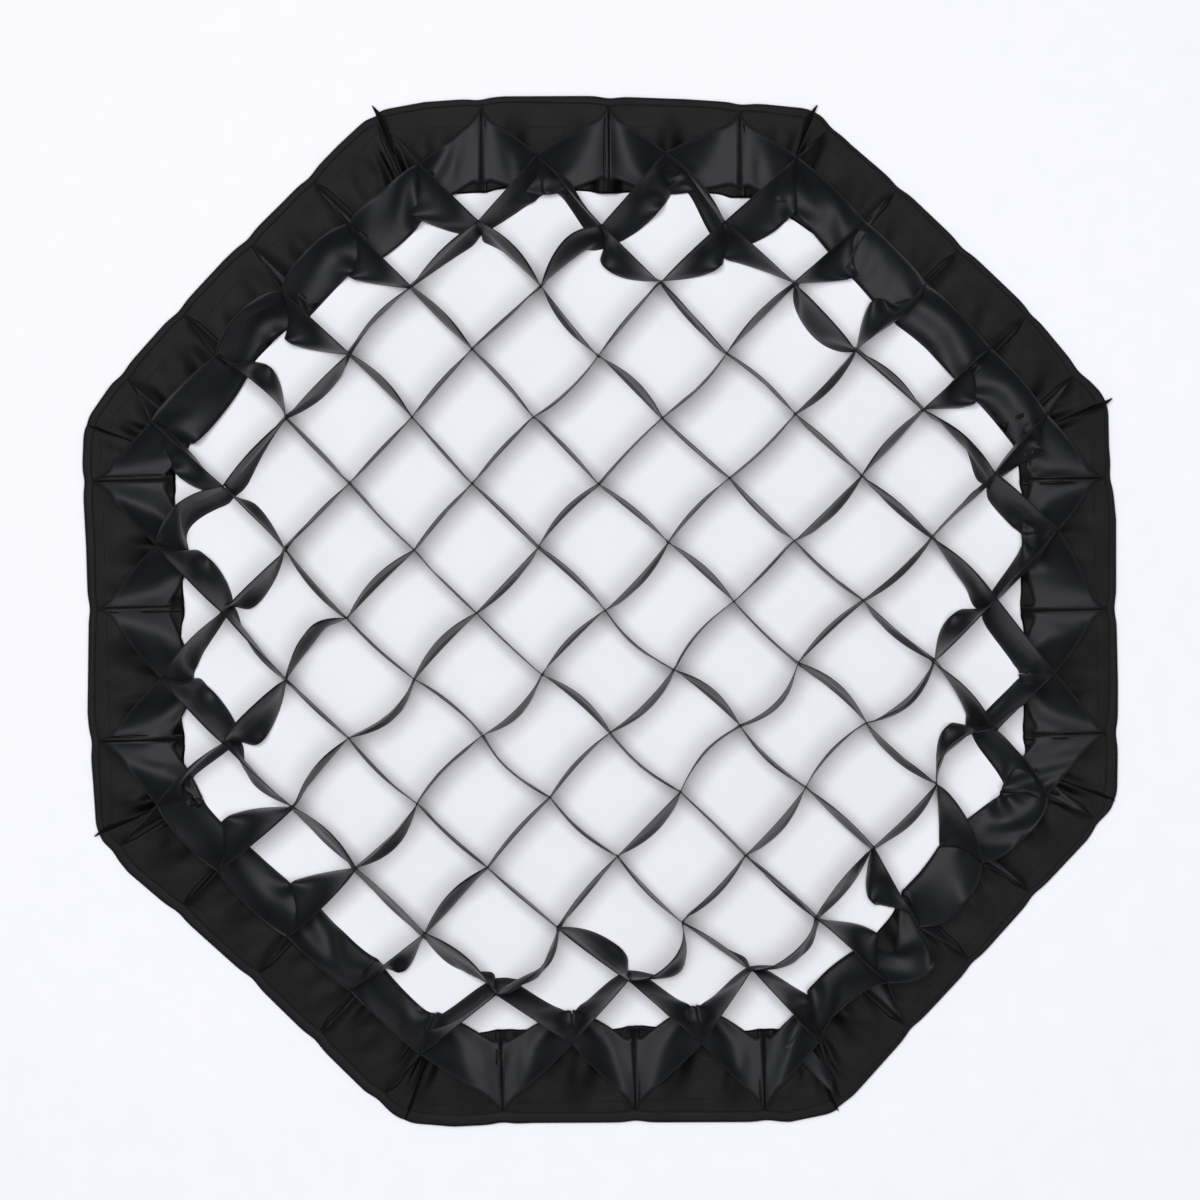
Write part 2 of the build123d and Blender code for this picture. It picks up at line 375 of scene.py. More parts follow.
class Net:
    """Every cell wall as one grid of points. Two walls share the column where they cross."""

    def __init__(self):
        self.points = []
        self.pinned = []
        self.columns = {}  # crossing to its column of point numbers
        self.walls = {}  # (family, ring) to its columns, in order
        self.lengths = {}
        self.places = crossing_places()
        self.swayed = []  # points held near a place in plan
        self.sway_places = []
        for family in "ab":
            for ring in range(-RINGS, RINGS + 1):
                self.add_wall(family, ring)

    def add_points(self, points, pinned):
        """Add points and return their numbers."""
        first = len(self.points)
        self.points.extend(points)
        self.pinned.extend(pinned)
        return list(range(first, first + len(points)))

    def crossing(self, key):
        """The column of points at a crossing, which both of its walls share."""
        if key not in self.columns:
            front, deep = self.places[key]
            line = [front + (deep - front) * r / (ROWS - 1) for r in range(ROWS)]
            at_band = key in DEEP_OFFSET
            held = [r == 0 or (r == ROWS - 1 and not at_band) for r in range(ROWS)]
            self.columns[key] = self.add_points(line, held)
            if at_band:
                self.hold(self.columns[key][-1], deep)
        return self.columns[key]

    def hold(self, point, place):
        """Pull a point softly towards a place in plan."""
        self.swayed.append(point)
        self.sway_places.append(place[:2])

    def add_wall(self, family, ring):
        """Add a wall's columns of points, span by span, with the lengths of cloth between them."""
        stops = [self.add_points(end_column(family, ring, False), [True] * ROWS)]
        stops += [self.crossing(key) for key in wall_stations(family, ring)]
        stops.append(self.add_points(end_column(family, ring, True), [True] * ROWS))
        columns, steps = [stops[0]], []
        for number, (near, far) in enumerate(zip(stops[:-1], stops[1:])):
            first = np.array([self.points[n] for n in near])
            last = np.array([self.points[n] for n in far])
            reach = float(np.linalg.norm(last - first, axis=1).max())
            count = max(5, round(PER_CELL * reach / CELL))
            inner = 0 < number < len(stops) - 2
            if inner:
                sway = SWAY[family][ring][number - 1]
            elif abs(ring) <= LONG_RINGS:
                # Ends of the long walls tip over beside their tucks
                sway = (0, None, 0.3 if number else 0.7, 5.5 if family == "a" else -5.5)
            else:
                sway = (0, None)
            path = self.span_path(first, last, count, *sway)
            lengths = np.linalg.norm(np.diff(path, axis=0), axis=2).sum(axis=0)
            for rows in path[1:-1]:
                columns.append(self.add_points(rows, [False] * ROWS))
                for row in (0, ROWS - 1) if inner else (0, ROWS // 2, ROWS - 1):
                    self.hold(columns[-1][row], rows[row])
            columns.append(far)
            steps += [1.003 * lengths / count] * count
        self.walls[family, ring] = np.array(columns)
        self.lengths[family, ring] = np.array(steps)

    def span_path(self, first, last, count, front, deep, peak=0.5, tip=0.0):
        """Columns of one span as it is meant to sway, with the two that it runs between."""
        bow = self.bow(first, last, front, deep, tip)
        # The widest flags are squarer than the gentle waves
        power = 0.5 if deep and abs(deep) > 9 else 0.9
        path = []
        for k in range(count + 1):
            share = k / count
            if share < peak:
                swell = math.sin(math.pi * share / (2 * peak))
            else:
                swell = math.sin(math.pi * (1 - share) / (2 - 2 * peak))
            path.append(first + (last - first) * share + bow * max(0.0, swell) ** power)
        return np.array(path)

    def bow(self, first, last, front_sway, deep_sway, tip):
        """Sideways swell of each row where a span sways most, from the sway of its two edges."""
        chord = last[0, :2] - first[0, :2]
        normal = np.array([-chord[1], chord[0]]) / np.linalg.norm(chord)
        middle = (first[0, :2] + last[0, :2]) / 2
        height = (first[0, 2] + last[0, 2]) / 2
        front = normal * front_sway * MM
        deep = normal * tip * MM
        if deep_sway is not None:
            deep = below(middle, height) + normal * deep_sway * MM - (first[-1, :2] + last[-1, :2]) / 2
        share = np.linspace(0, 1, ROWS)[:, None]
        swell = front * (1 - share) + deep * share
        return np.column_stack([swell, np.zeros(ROWS)])


def links_of(net):
    """Springs of the cloth in groups in which no point appears twice."""
    row_gap = DEPTH / (ROWS - 1)
    groups = []

    def add(pairs, stiffness, give=1.0):
        """give: how strongly it resists being squeezed, where 1 is as much as being pulled."""
        a, b, rest = (np.concatenate(x) for x in zip(*pairs))
        groups.append((a, b, rest, stiffness, give))

    for family in "ab":
        walls = [(net.walls[family, r], net.lengths[family, r]) for r in range(-RINGS, RINGS + 1)]
        for parity in (0, 1):
            # Along the wall, then both diagonals, then down it
            add([(w[parity:-1:2].ravel(), w[parity + 1::2].ravel(), s[parity::2].ravel())
                 for w, s in walls], 1.0, 0.3)
            for low, high in ((slice(0, -1), slice(1, None)), (slice(1, None), slice(0, -1))):
                add([(w[parity:-1:2, low].ravel(), w[parity + 1::2, high].ravel(),
                      np.hypot((s[parity::2, :-1] + s[parity::2, 1:]) / 2, row_gap).ravel())
                     for w, s in walls], 0.35, 0.3)
            add([(w[:, parity:-1:2].ravel(), w[:, parity + 1::2].ravel(),
                  np.full(w[:, parity + 1::2].size, row_gap)) for w, s in walls], 1.0)
        for first in (0, 2):
            # Against bending: every second point along the wall, then down it
            bends = []
            for w, s in walls:
                index = np.array([c for c in range(len(w) - 2) if c % 4 in (first, first + 1)])
                rest = s[index] + s[index + 1]
                bends.append((w[index].ravel(), w[index + 2].ravel(), rest.ravel()))
            add(bends, 0.2)
            index = [r for r in range(ROWS - 2) if r % 4 in (first, first + 1)]
            add([(w[:, index].ravel(), w[:, [r + 2 for r in index]].ravel(),
                  np.full(len(w) * len(index), 2 * row_gap)) for w, s in walls], 0.45)
    return groups


def settle(net, passes):
    """Position-based cloth: keep every spring's length, fall gently, and stay off the ground."""
    points = np.array(net.points)
    free = 1.0 - np.array(net.pinned, float)
    groups = links_of(net)
    shares = []
    for a, b, rest, stiffness, _ in groups:
        total = free[a] + free[b]
        scale = np.where(total > 0, stiffness / np.maximum(total, 1), 0)
        shares.append((scale * free[a], scale * free[b]))
    level = ground(points)
    swayed, sway_places = np.array(net.swayed), np.array(net.sway_places)
    for number in range(passes):
        points[:, 2] -= FALL * free
        points[swayed, :2] += HOLD * (sway_places - points[swayed, :2])
        for (a, b, rest, _, give), (share_a, share_b) in zip(groups, shares):
            gap = points[b] - points[a]
            length = np.maximum(np.sqrt(np.einsum("ij,ij->i", gap, gap)), 1e-9)
            excess = length - rest
            excess = np.where(excess < 0, give * excess, excess)
            push = gap * (excess / length)[:, None]
            points[a] += push * share_a[:, None]
            points[b] -= push * share_b[:, None]
        if number % 10 == 0:
            level = ground(points)
        points[:, 2] = np.where(free > 0, np.maximum(points[:, 2], level), points[:, 2])
    return points


# ---------------------------------------------------------------- mesh helpers


def new_object(name, vertices, faces, material):
    """Smooth-shaded mesh object in the scene."""
    mesh = bpy.data.meshes.new(name)
    mesh.from_pydata([tuple(map(float, v)) for v in vertices], [], faces)
    mesh.update()
    mesh.materials.append(material)
    for polygon in mesh.polygons:
        polygon.use_smooth = True
    obj = bpy.data.objects.new(name, mesh)
    bpy.context.scene.collection.objects.link(obj)
    return obj


def grid_faces(columns, rows, first=0):
    """Quads of a grid whose points are numbered column by column."""
    return [
        (first + c * rows + r, first + (c + 1) * rows + r,
         first + (c + 1) * rows + r + 1, first + c * rows + r + 1)
        for c in range(columns - 1) for r in range(rows - 1)
    ]


def thicken(obj, thickness, levels=1):
    """Give a sheet its thickness as a closed mesh with smooth curves."""
    if levels:
        smooth = obj.modifiers.new("smooth", "SUBSURF")
        smooth.levels = smooth.render_levels = levels
        smooth.boundary_smooth = "PRESERVE_CORNERS"
    solid = obj.modifiers.new("thickness", "SOLIDIFY")
    solid.thickness = thickness
    solid.offset = 0
    solid.use_even_offset = False
    depsgraph = bpy.context.evaluated_depsgraph_get()
    mesh = bpy.data.meshes.new_from_object(obj.evaluated_get(depsgraph))
    old = obj.data
    obj.modifiers.clear()
    obj.data = mesh
    mesh.name = obj.name
    bpy.data.meshes.remove(old)
    for polygon in mesh.polygons:
        polygon.use_smooth = True


def finish_piece(obj, slot, *nodes):
    """Tie a piece to the frame: what it rides on and what it stands for. The slot, what it is made of, is
    not used.
    """
    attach(obj, "root")
    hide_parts(*nodes)


# ---------------------------------------------------------------- cell walls


def wall_mesh(family, ring, net, points, material):
    """One wall with a half-lap slit at each crossing: set a from below, set b from above."""
    columns = net.walls[family, ring]
    crossing_columns = {tuple(column) for column in net.columns.values()}
    middle = ROWS // 2
    vertices, left, right = [], [], []
    for number, column in enumerate(columns):
        line = points[column]
        ids = list(range(len(vertices), len(vertices) + ROWS))
        vertices.extend(line)
        left.append(ids)
        right.append(list(ids))
        if tuple(column) not in crossing_columns:
            continue
        before, after = points[columns[number - 1]], points[columns[number + 1]]
        along = (after - before) / np.linalg.norm(after - before, axis=1)[:, None]
        slit = range(middle + 1, ROWS) if family == "a" else range(middle)
        for row in slit:
            vertices[ids[row]] = line[row] - along[row] * SLIT_HALF
            right[-1][row] = len(vertices)
            vertices.append(line[row] + along[row] * SLIT_HALF)
    faces = []
    for c in range(len(columns) - 1):
        for r in range(ROWS - 1):
            faces.append((right[c][r], left[c + 1][r], left[c + 1][r + 1], right[c][r + 1]))
    node = f"cell_wall_{family}_{ring + RINGS + 1:02d}"
    obj = new_object(f"{node}_cloth", vertices, faces, material)
    thicken(obj, WALL_T)
    finish_piece(obj, "wall_cloth", node)
    return obj


# ---------------------------------------------------------------- side band


def pleat_profile():
    """Section across a tuck pressed flat to one side: sideways and up, in mm."""
    return [(-6.0, 0.0), (-3.5, 0.4), (-1.0, 1.1), (1.4, 1.9), (2.6, 2.0), (3.0, 1.65),
            (2.4, 1.25), (0.6, 0.75), (0.1, 0.35), (0.8, 0.0), (3.0, 0.0), (6.0, 0.0)]


def panel_columns(side):
    """Stations along a side: even ones between the tucks, and the pleat's section at each."""
    columns = []
    edges = [-side.length / 2] + side.tucks + [side.length / 2]
    section = pleat_profile()
    reach = section[-1][0] * MM
    for number in range(len(edges) - 1):
        start = edges[number] + (reach if number else 0)
        stop = edges[number + 1] - (reach if number < len(edges) - 2 else 0)
        count = max(4, round((stop - start) / (3.5 * MM)))
        inner = np.linspace(start, stop, count + 1)
        if number:
            inner = inner[1:]
        columns += [(float(x), 0.0, 0.0) for x in inner]
        if number < len(edges) - 2:
            tuck = edges[number + 1]
            lay = 1 if (number + side.number) % 2 else -1
            for x, z in section[1:] if lay > 0 else [(-x, z) for x, z in section[::-1]][1:]:
                columns.append((tuck, x * MM, z * MM))
    return columns


def hem_step(side, along):
    """How far the inner hem runs out of true: it slants between the tucks and jumps at each."""
    stops = [-side.length / 2] + side.tucks + [side.length / 2]
    number = max(0, sum(along > stop for stop in stops) - 1)
    share = (along - stops[number]) / (stops[min(number + 1, len(stops) - 1)] - stops[number] + 1e-9)
    slant = 1 if (number + side.number) % 2 else -1
    return (1.4 * slant * (share - 0.5) + 0.8 * math.sin(along / (13 * MM) + side.number)) * MM


def band_panel(side, material):
    """One side of the band as a single sheet with its tucks."""
    rows = np.concatenate([[0.7, 4, 8], np.linspace(12, 52, 12)]) * MM
    columns = panel_columns(side)
    vertices = []
    half, margin, overlap = side.length / 2, 14 * MM, 0.3 * MM
    for along, sideways, rise in columns:
        wave = float(side.edge_wave(np.array([along]))[0])
        for inwards in rows:
            depth = inwards + wave + hem_step(side, along) * float(soft_step(inwards / BAND_W))
            start, end = side.ends(depth)
            start, end = start - overlap, end + overlap
            place = along
            # Beside the corners the columns close up to meet the mitre
            if along < min(start + margin, 0):
                place = start + (along + half) * margin / (margin + start + half)
            elif along > max(end - margin, 0):
                place = end - (half - along) * margin / (margin + half - end)
            grow = float(soft_step((inwards - 4 * MM) / (9 * MM)))
            plan = side.plan(place + sideways * (0.25 + 0.75 * grow), depth)
            vertices.append((*plan, float(band_level(side, place, inwards)) + rise * grow))
    node = f"band_panel_{side.name}"
    obj = new_object(f"{node}_cloth", vertices, grid_faces(len(columns), len(rows)), material)
    thicken(obj, BAND_T)
    finish_piece(obj, "band_cloth", node)
    mean = (side.length + side.ends(BAND_W)[1] - side.ends(BAND_W)[0]) / 2
    return obj


def sweep(name, side, profile, stations, material):
    """Closed section carried along a side. profile(along, k) gives (inwards, up) points."""
    vertices = []
    sections = [profile(along, k) for k, along in enumerate(stations)]
    rows = len(sections[0])
    for along, section in zip(stations, sections):
        wave = float(side.edge_wave(np.array([along]))[0])
        for inwards, up in section:
            start, end = side.ends(inwards + wave)
            share = (along - stations[0]) / (stations[-1] - stations[0])
            place = start + (end - start) * share
            vertices.append((*side.plan(place, inwards + wave), up))
    faces = []
    for c in range(len(stations) - 1):
        for r in range(rows):
            q = (r + 1) % rows
            faces.append((c * rows + r, c * rows + q, (c + 1) * rows + q, (c + 1) * rows + r))
    faces.append(tuple(range(rows))[::-1])
    faces.append(tuple((len(stations) - 1) * rows + r for r in range(rows)))
    return new_object(name, vertices, faces, material)


RIB = 1.15 * MM  # pitch of the grosgrain's ribs


def upper_leg(side, along):
    """Visible width of the binding at a place along its side."""
    start, end = BINDING_LEG[side.number]
    share = along / side.length + 0.5
    return (start + (end - start) * share + 0.35 * math.sin(along / (19 * MM) + side.number)) * MM


def edge_binding(side, material):
    """Ribbed tape folded over the edge; on some sides it has rolled under and shows less."""
    count = 2 * round(side.length / RIB)
    stations = np.linspace(-side.length / 2, side.length / 2, count + 1)
    outer_top = BAND_TOP + 0.55 * MM
    outer_low = BAND_LOW - 0.5 * MM
    inner_top, inner_low = BAND_TOP + 0.08 * MM, BAND_LOW - 0.05 * MM
    middle, radius = (outer_top + outer_low) / 2, (outer_top - outer_low) / 2

    def section(along, k):
        leg = upper_leg(side, along)
        rib = 0.2 * MM if k % 2 else -0.16 * MM
        outer = [(leg, outer_top - 0.25 * MM), (leg - 0.3 * MM, outer_top + rib)]
        outer += [(leg * s, outer_top + rib) for s in (0.6, 0.3)]
        for degrees in (60, 20, -20, -60):
            angle = math.radians(degrees)
            outer.append((radius * (1 - math.cos(angle)) - rib, middle + radius * math.sin(angle)))
        outer += [(LOW_LEG * 0.4, outer_low - rib), (LOW_LEG - 0.3 * MM, outer_low - rib)]
        outer.append((LOW_LEG, outer_low))
        inner = [(LOW_LEG, inner_low), (0.75 * MM, inner_low), (0.55 * MM, (inner_low + inner_top) / 2),
                 (0.75 * MM, inner_top), (leg, inner_top)]
        return outer + inner

    node = f"edge_binding_{side.name}"
    obj = sweep(f"{node}_tape", side, section, stations, material)
    # Marks the rib crests for the material, which paints shade into the grooves between them
    rib_crest_shade_marks = obj.data.attributes.new("rib", "FLOAT", "POINT")
    rows = len(obj.data.vertices) // len(stations)
    rib_crest_shade_marks.data.foreach_set("value", np.repeat(np.arange(len(stations)) % 2, rows).astype(float))
    finish_piece(obj, "binding_tape", node)
    return obj


def hook_tape(side, material):
    """Flat woven tape under the band, with its selvedges a little thinner."""
    low, high = HOOK_EDGES
    stations = np.linspace(-side.length / 2, side.length / 2, 60)

    def section(along, k):
        return [(low, HOOK_TOP), (low, 0.5 * MM), (low + 1.5 * MM, 0.35 * MM), (low + 2 * MM, 0.0),
                (high - 2 * MM, 0.0), (high - 1.5 * MM, 0.35 * MM), (high, 0.5 * MM), (high, HOOK_TOP)]

    node = f"hook_tape_{side.name}"
    obj = sweep(f"{node}_woven", side, section, stations, material)
    finish_piece(obj, "hook_tape", node)
    (side.length + side.ends(high)[1] - side.ends(high)[0]) / 2
    return obj


# ---------------------------------------------------------------- thread


class Threads:
    """Collects short rounded stitches into one mesh."""

    def __init__(self):
        self.vertices, self.faces = [], []

    def stitch(self, start, end, radius, lift):
        """A stitch that dives into the cloth at both ends."""
        start, end = np.asarray(start, float), np.asarray(end, float)
        along = (end - start) / np.linalg.norm(end - start)
        up = np.array([0, 0, 1.0])
        if abs(along @ up) > 0.9:
            up = np.array([1.0, 0, 0])
        across = np.cross(along, up)
        across /= np.linalg.norm(across)
        up = np.cross(across, along)
        first, ring = len(self.vertices), 6
        # Share of its length, width and height at five sections
        shape = ((0.0, 0.55, -0.5), (0.12, 0.9, 0.35), (0.5, 1.0, 1.0),
                 (0.88, 0.9, 0.35), (1.0, 0.55, -0.5))
        for share, width, height in shape:
            centre = start + (end - start) * share + up * lift * height
            for k in range(ring):
                angle = 2 * math.pi * k / ring
                spoke = math.cos(angle) * across + math.sin(angle) * up
                self.vertices.append(centre + radius * width * spoke)
        for s in range(len(shape) - 1):
            for k in range(ring):
                q = (k + 1) % ring
                a, b = first + s * ring, first + (s + 1) * ring
                self.faces.append((a + k, a + q, b + q, b + k))
        self.faces.append(tuple(first + k for k in range(ring)))
        self.faces.append(tuple(first + (len(shape) - 1) * ring + k for k in range(ring))[::-1])

    def row(self, line, length, gap, radius, lift):
        """Stitches along a run of points."""
        line = np.asarray(line, float)
        steps = np.linalg.norm(np.diff(line, axis=0), axis=1)
        travelled = np.concatenate([[0], np.cumsum(steps)])
        place = gap
        while place + length < travelled[-1]:
            start = [np.interp(place, travelled, line[:, axis]) for axis in range(3)]
            end = [np.interp(place + length, travelled, line[:, axis]) for axis in range(3)]
            self.stitch(start, end, radius, lift)
            place += length + gap

    def build(self, name, material, node):
        obj = new_object(name, self.vertices, self.faces, material)
        finish_piece(obj, "thread", node)
        return obj


def binding_stitches(material):
    """Topstitching along the binding's inner edge."""
    threads = Threads()
    for side in OCTAGON:
        line = []
        for share in np.linspace(0.01, 0.99, 60):
            along = (share - 0.5) * side.length
            inwards = max(upper_leg(side, along) - 0.9 * MM, 1.2 * MM)
            wave = float(side.edge_wave(np.array([along]))[0])
            line.append((*side.plan(along, inwards + wave), BAND_TOP + 0.6 * MM))
        threads.row(line, 2.3 * MM, 0.5 * MM, 0.19 * MM, 0.16 * MM)
    return threads.build("binding_stitches_thread", material, "binding_stitches")


def hook_tape_stitches(material):
    """Two rows on each side, broken at the tucks."""
    threads = Threads()
    for side in OCTAGON:
        for inwards in HOOK_ROWS:
            start, end = side.ends(inwards)
            breaks = [start] + side.tucks + [end]
            for left, right in zip(breaks[:-1], breaks[1:]):
                span = np.linspace(left + 5 * MM, right - 5 * MM, 12)
                level = band_level(side, span, inwards) + BAND_T / 2
                line = [(*side.plan(x, inwards), z) for x, z in zip(span, level)]
                threads.row(line, 2.4 * MM, 0.6 * MM, 0.16 * MM, 0.1 * MM)
    return threads.build("hook_tape_stitches_thread", material, "hook_tape_stitches")


def wall_end_stitches(net, points, material):
    """A row along the sewn end of every wall."""
    threads = Threads()
    for columns in net.walls.values():
        for outer, inner in ((0, 1), (-1, -2)):
            edge, inside = points[columns[outer]], points[columns[inner]]
            line = edge * 0.6 + inside * 0.4 + np.array([0, 0, WALL_T])
            threads.row(line[::2], 2.2 * MM, 0.7 * MM, 0.16 * MM, 0.12 * MM)
    return threads.build("wall_end_stitches_thread", material, "wall_end_stitches")


def crossing_tacks(net, points, material):
    """A few turns of thread over the front edge where two walls cross."""
    threads = Threads()
    neighbours = {}
    for columns in net.walls.values():
        for number, column in enumerate(columns):
            neighbours.setdefault(tuple(column), []).append((columns, number))
    for column in net.columns.values():
        top, below = points[column[0]], points[column[1]]
        down = (below - top) / np.linalg.norm(below - top)
        for columns, number in neighbours[tuple(column)]:
            ahead = points[columns[number + 1][0]] - points[columns[number - 1][0]]
            ahead /= np.linalg.norm(ahead)
            for drop in (0.2 * MM, 1.5 * MM):
                middle = top + down * drop
                threads.stitch(middle - ahead * 1.3 * MM, middle + ahead * 1.3 * MM, 0.22 * MM, 0.25 * MM)
        threads.stitch(top - down * 0.2 * MM, top + down * 2.2 * MM, 0.3 * MM, 0.3 * MM)
    return threads.build("crossing_tacks_thread", material, "crossing_tacks")


def corner_seam_tips(material):
    """Spare cloth standing along each corner seam, with a point past the outline at some."""
    sizes = [1.0, 1.0, 1.1, 0.3, 0.8, 0.3, 0.5, 0.4]
    rows = 5
    vertices, faces = [], []
    for number, size in enumerate(sizes):
        corner = CORNERS[number]
        out = corner / np.linalg.norm(corner)
        across = np.array([-out[1], out[0]]) * (1 if number % 2 else -1)
        stations = np.linspace((6.5 * size - 3.6) * MM, -26 * MM, 14)
        first = len(vertices)
        for k, reach in enumerate(stations):
            share = k / (len(stations) - 1)
            width = (0.4 + 7.0 * size * min(1, share * 2.6) * (1 - share) ** 1.2) * MM
            for r in range(rows):
                up = r / (rows - 1)
                plan = corner + out * (reach - 0.25 * width * up) + across * (0.75 * width * up)
                rise = width * (0.62 * up + 0.1 * math.sin(math.pi * up))
                vertices.append((*plan, BAND_TOP + 0.9 * MM + rise))
        faces += grid_faces(len(stations), rows, first)
    obj = new_object("corner_seam_tips_cloth", vertices, faces, material)
    thicken(obj, 0.6 * MM)
    finish_piece(obj, "band_cloth", "corner_seam_tips")
    return obj


# ---------------------------------------------------------------- materials


class Shader:
    """Small helper for building a node material."""

    def __init__(self, name):
        self.material = bpy.data.materials.new(name)
        self.material.use_nodes = True
        self.nodes = self.material.node_tree.nodes
        self.links = self.material.node_tree.links
        self.surface = self.nodes["Principled BSDF"]
        self.place = self.node("ShaderNodeTexCoord").outputs["Object"]

    def node(self, kind, **settings):
        made = self.nodes.new(kind)
        for key, value in settings.items():
            setattr(made, key, value)
        return made

    def link(self, source, target):
        self.links.new(source, target)

    def noise(self, scale, detail=3.0, roughness=0.5):
        made = self.node("ShaderNodeTexNoise")
        made.inputs["Scale"].default_value = scale
        made.inputs["Detail"].default_value = detail
        made.inputs["Roughness"].default_value = roughness
        self.link(self.place, made.inputs["Vector"])
        return made.outputs["Fac"]

    def wave(self, scale, direction, rotate=0.0, profile="SIN"):
        turn = self.node("ShaderNodeMapping")
        turn.inputs["Rotation"].default_value = (0, 0, rotate)
        self.link(self.place, turn.inputs["Vector"])
        made = self.node("ShaderNodeTexWave", bands_direction=direction, wave_profile=profile)
        made.inputs["Scale"].default_value = scale
        made.inputs["Distortion"].default_value = 0.0
        self.link(turn.outputs["Vector"], made.inputs["Vector"])
        return made.outputs["Fac"]

    def math(self, operation, a, b):
        made = self.node("ShaderNodeMath", operation=operation)
        for socket, value in zip(made.inputs, (a, b)):
            if isinstance(value, (int, float)):
                socket.default_value = value
            else:
                self.link(value, socket)
        return made.outputs["Value"]

    def spread(self, value, low, high):
        made = self.node("ShaderNodeMapRange")
        made.inputs["To Min"].default_value = low
        made.inputs["To Max"].default_value = high
        self.link(value, made.inputs["Value"])
        return made.outputs["Result"]

    def colour(self, value, dark, light):
        ramp = self.node("ShaderNodeValToRGB")
        ramp.color_ramp.elements[0].position = 0.25
        ramp.color_ramp.elements[1].position = 0.75
        ramp.color_ramp.elements[0].color = (*dark, 1)
        ramp.color_ramp.elements[1].color = (*light, 1)
        self.link(value, ramp.inputs["Fac"])
        self.link(ramp.outputs["Color"], self.surface.inputs["Base Color"])

    def bump(self, height, distance, strength):
        made = self.node("ShaderNodeBump")
        made.inputs["Distance"].default_value = distance
        made.inputs["Strength"].default_value = strength
        self.link(height, made.inputs["Height"])
        self.link(made.outputs["Normal"], self.surface.inputs["Normal"])

    def rough(self, value, low, high):
        self.link(self.spread(value, low, high), self.surface.inputs["Roughness"])

    def set(self, **values):
        for key, value in values.items():
            self.surface.inputs[key.replace("_", " ")].default_value = value


def wall_cloth():
    """Thin coated nylon: plain weave, soft sheen, faintly blue."""
    s = Shader("wall_cloth")
    blotch = s.noise(35, 4)
    s.colour(blotch, (0.0088, 0.0094, 0.0112), (0.0125, 0.0134, 0.0156))
    weave = s.math("MULTIPLY", s.wave(700, "X", math.pi / 4), s.wave(700, "Y", math.pi / 4))
    crease = s.math("MULTIPLY", s.noise(90, 2), 1.2)
    s.bump(s.math("ADD", weave, crease), 0.00012, 0.35)
    s.rough(blotch, 0.36, 0.48)
    s.set(Specular_IOR_Level=0.17, Sheen_Weight=0.02, Sheen_Roughness=0.4)
    return s.material


def band_cloth():
    """Black satin-backed polyester."""
    s = Shader("band_cloth")
    blotch = s.noise(28, 4)
    s.colour(blotch, (0.0016, 0.0016, 0.0019), (0.0028, 0.0028, 0.0032))
    weave = s.math("MULTIPLY", s.wave(520, "X"), s.wave(520, "Y"))
    wrinkle = s.math("MULTIPLY", s.noise(70, 3), 2.0)
    s.bump(s.math("ADD", weave, wrinkle), 0.00018, 0.35)
    s.rough(s.noise(60, 3), 0.33, 0.46)
    s.set(Specular_IOR_Level=0.085, Sheen_Weight=0.005, Sheen_Roughness=0.35)
    return s.material


def binding_tape():
    """Grosgrain: black ribs, with shade painted into the grooves between them."""
    s = Shader("binding_tape")
    fibre = s.noise(900, 2)
    rib = s.node("ShaderNodeAttribute", attribute_name="rib").outputs["Fac"]
    # painted shade: the grooves (rib 0) take the dark end of the ramp, the rib crests the light end, with a
    # little random fibre variation
    rib_painted_shade = s.math("MULTIPLY", rib, s.spread(fibre, 0.7, 1.3))
    s.colour(rib_painted_shade, (0.0008, 0.0008, 0.0009), (0.013, 0.013, 0.014))
    s.bump(fibre, 0.0001, 0.5)
    s.rough(s.noise(50, 2), 0.5, 0.65)
    s.set(Specular_IOR_Level=0.1, Sheen_Weight=0.01, Sheen_Roughness=0.5)
    return s.material


def hook_cloth():
    """Fine rows of hooks."""
    s = Shader("hook_cloth")
    rows = s.math("MULTIPLY", s.wave(230, "X", profile="SAW"), s.wave(230, "Y", profile="SAW"))
    s.colour(rows, (0.006, 0.006, 0.006), (0.022, 0.022, 0.022))
    s.bump(rows, 0.0006, 0.9)
    s.rough(s.noise(80, 2), 0.4, 0.6)
    return s.material


def thread():
    """Twisted black thread."""
    s = Shader("thread")
    twist = s.noise(1500, 1)
    s.colour(twist, (0.003, 0.003, 0.0035), (0.008, 0.008, 0.009))
    s.bump(twist, 0.00005, 0.5)
    s.rough(twist, 0.45, 0.65)
    s.set(Specular_IOR_Level=0.15)
    return s.material


# ---------------------------------------------------------------- studio


def paper():
    s = Shader("paper")
    s.colour(s.noise(60, 2), (0.86, 0.86, 0.92), (0.88, 0.88, 0.94))
    s.set(Roughness=0.9)
    return s.material


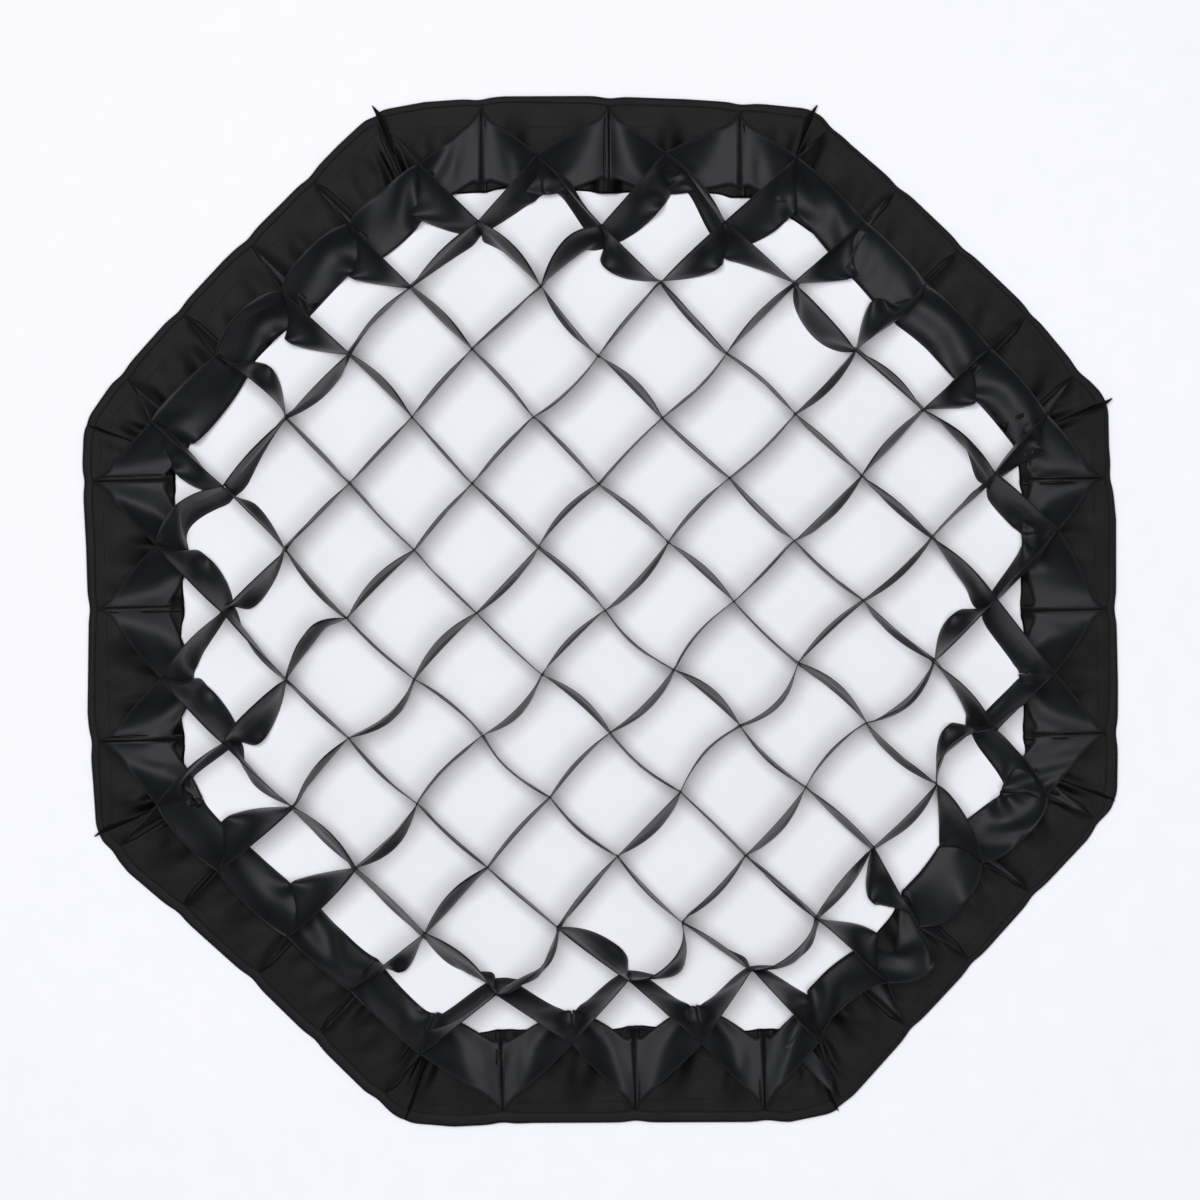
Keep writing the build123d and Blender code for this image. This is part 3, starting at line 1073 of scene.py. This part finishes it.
def table():
    """The white paper that the grid lies on."""
    reach = 3.0
    corners = [(-reach, -reach, 0), (reach, -reach, 0), (reach, reach, 0), (-reach, reach, 0)]
    obj = new_object("paper", corners, [(0, 1, 2, 3)], paper())


def lamp(name, place, size, power):
    """Square soft lamp aimed at the origin."""
    data = bpy.data.lights.new(name, "AREA")
    data.shape = "SQUARE"
    data.size = size
    data.energy = power
    obj = bpy.data.objects.new(name, data)
    obj.location = place
    aim = -np.array(place)
    obj.rotation_euler = (
        math.atan2(math.hypot(aim[0], aim[1]), -aim[2]), 0, math.atan2(aim[1], aim[0]) - math.pi / 2)
    bpy.context.scene.collection.objects.link(obj)


def studio():
    """Paper, two soft lamps nearly overhead, and a little light from all round."""
    table()
    lamp("key", (-0.42, 0.5, 2.6), 1.05, 39.5)
    lamp("fill", (0.35, -0.3, 2.8), 1.3, 30)
    world = bpy.data.worlds.new("studio")
    world.use_nodes = True
    back = world.node_tree.nodes["Background"]
    back.inputs["Color"].default_value = (0.97, 0.98, 1.0, 1)
    back.inputs["Strength"].default_value = 0.25
    bpy.context.scene.world = world
    bpy.context.scene.view_settings.view_transform = "Standard"


def camera():
    """Straight down from above, a little off centre."""
    frame_width = 0.6692
    data = bpy.data.cameras.new("camera")
    data.sensor_width = 36
    data.lens = 36 * VIEW_HEIGHT / frame_width
    obj = bpy.data.objects.new("camera", data)
    obj.location = (*VIEW_CENTRE, VIEW_HEIGHT)
    bpy.context.scene.collection.objects.link(obj)
    bpy.context.scene.camera = obj


# ---------------------------------------------------------------- build

camera()
studio()

wall_material, band_material = wall_cloth(), band_cloth()
binding_material, hook_material, thread_material = binding_tape(), hook_cloth(), thread()

net = Net()
settled = settle(net, 350)

for family, ring in net.walls:
    wall_mesh(family, ring, net, settled, wall_material)

for side in OCTAGON:
    band_panel(side, band_material)
    edge_binding(side, binding_material)
    hook_tape(side, hook_material)

binding_stitches(thread_material)
hook_tape_stitches(thread_material)
wall_end_stitches(net, settled, thread_material)
crossing_tacks(net, settled, thread_material)
corner_seam_tips(band_material)
